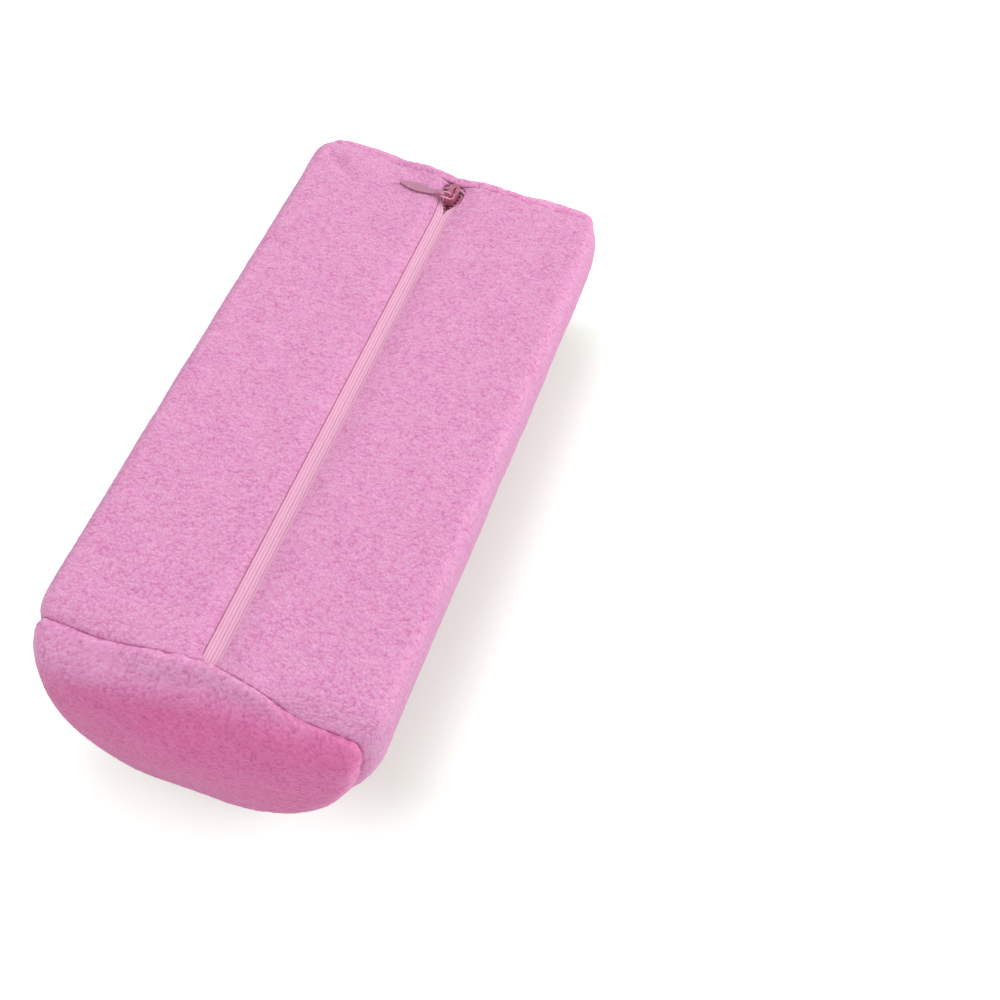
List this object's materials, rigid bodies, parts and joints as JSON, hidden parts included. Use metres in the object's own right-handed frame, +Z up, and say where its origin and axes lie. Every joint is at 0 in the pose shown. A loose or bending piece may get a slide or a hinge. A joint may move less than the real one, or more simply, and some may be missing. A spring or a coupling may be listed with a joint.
{
  "type": "manicure hand rest",
  "caption": "Half-round foam hand rest in a removable towelling cover, closed by a concealed zip along its flat side, with a small leaf-shaped pull.",
  "frame": {"origin": "under the middle of the cushion, on the flat spot of the dome that it lies on", "axes": "+Z up from the dome to the flat zip face, +Y along the zip towards the slider at rest, +X across"},
  "size_m": [0.13, 0.2998, 0.0775],
  "materials": {
    "foam": "open-cell foam",
    "terry": "cotton towelling with uncut loops",
    "tape": "woven polyester tape with ribs",
    "coil": "dyed nylon",
    "stop_metal": "crimped strip",
    "slider_paint": "gloss paint over a zinc casting",
    "pull_paint": "satin paint over a zinc casting"
  },
  "bodies": {
    "cushion": {"foam_core": "foam", "cover_wrap": "terry", "near_end_panel": "terry", "far_end_panel": "terry", "zip_tape_left": "tape", "zip_tape_right": "tape", "zip_coil_left": "coil", "zip_coil_right": "coil", "top_stop_left": "stop_metal", "top_stop_right": "stop_metal", "bottom_stop": "stop_metal"},
    "slider": {"slider_body": "slider_paint"},
    "loop": {"pull_loop": "slider_paint"},
    "tab": {"pull_tab": "pull_paint"}
  },
  "joints": [
    {"name": "slider_slide", "type": "slide", "parent": "cushion", "child": "slider", "axis": [0, -1, 0], "range_m": [0, 0.24], "deforming": ["zip_tape_left", "zip_tape_right", "zip_coil_left", "zip_coil_right"]},
    {"name": "loop_swivel", "type": "hinge", "parent": "slider", "child": "loop", "pos_m": [0, 0.1192, 0.0762], "axis": [0, 0, 1], "range_deg": [-10, 190]},
    {"name": "tab_lift", "type": "hinge", "parent": "loop", "child": "tab", "pos_m": [-0.0036, 0.1192, 0.0762], "axis": [0, 1, 0], "range_deg": [0, 140]}
  ]
}
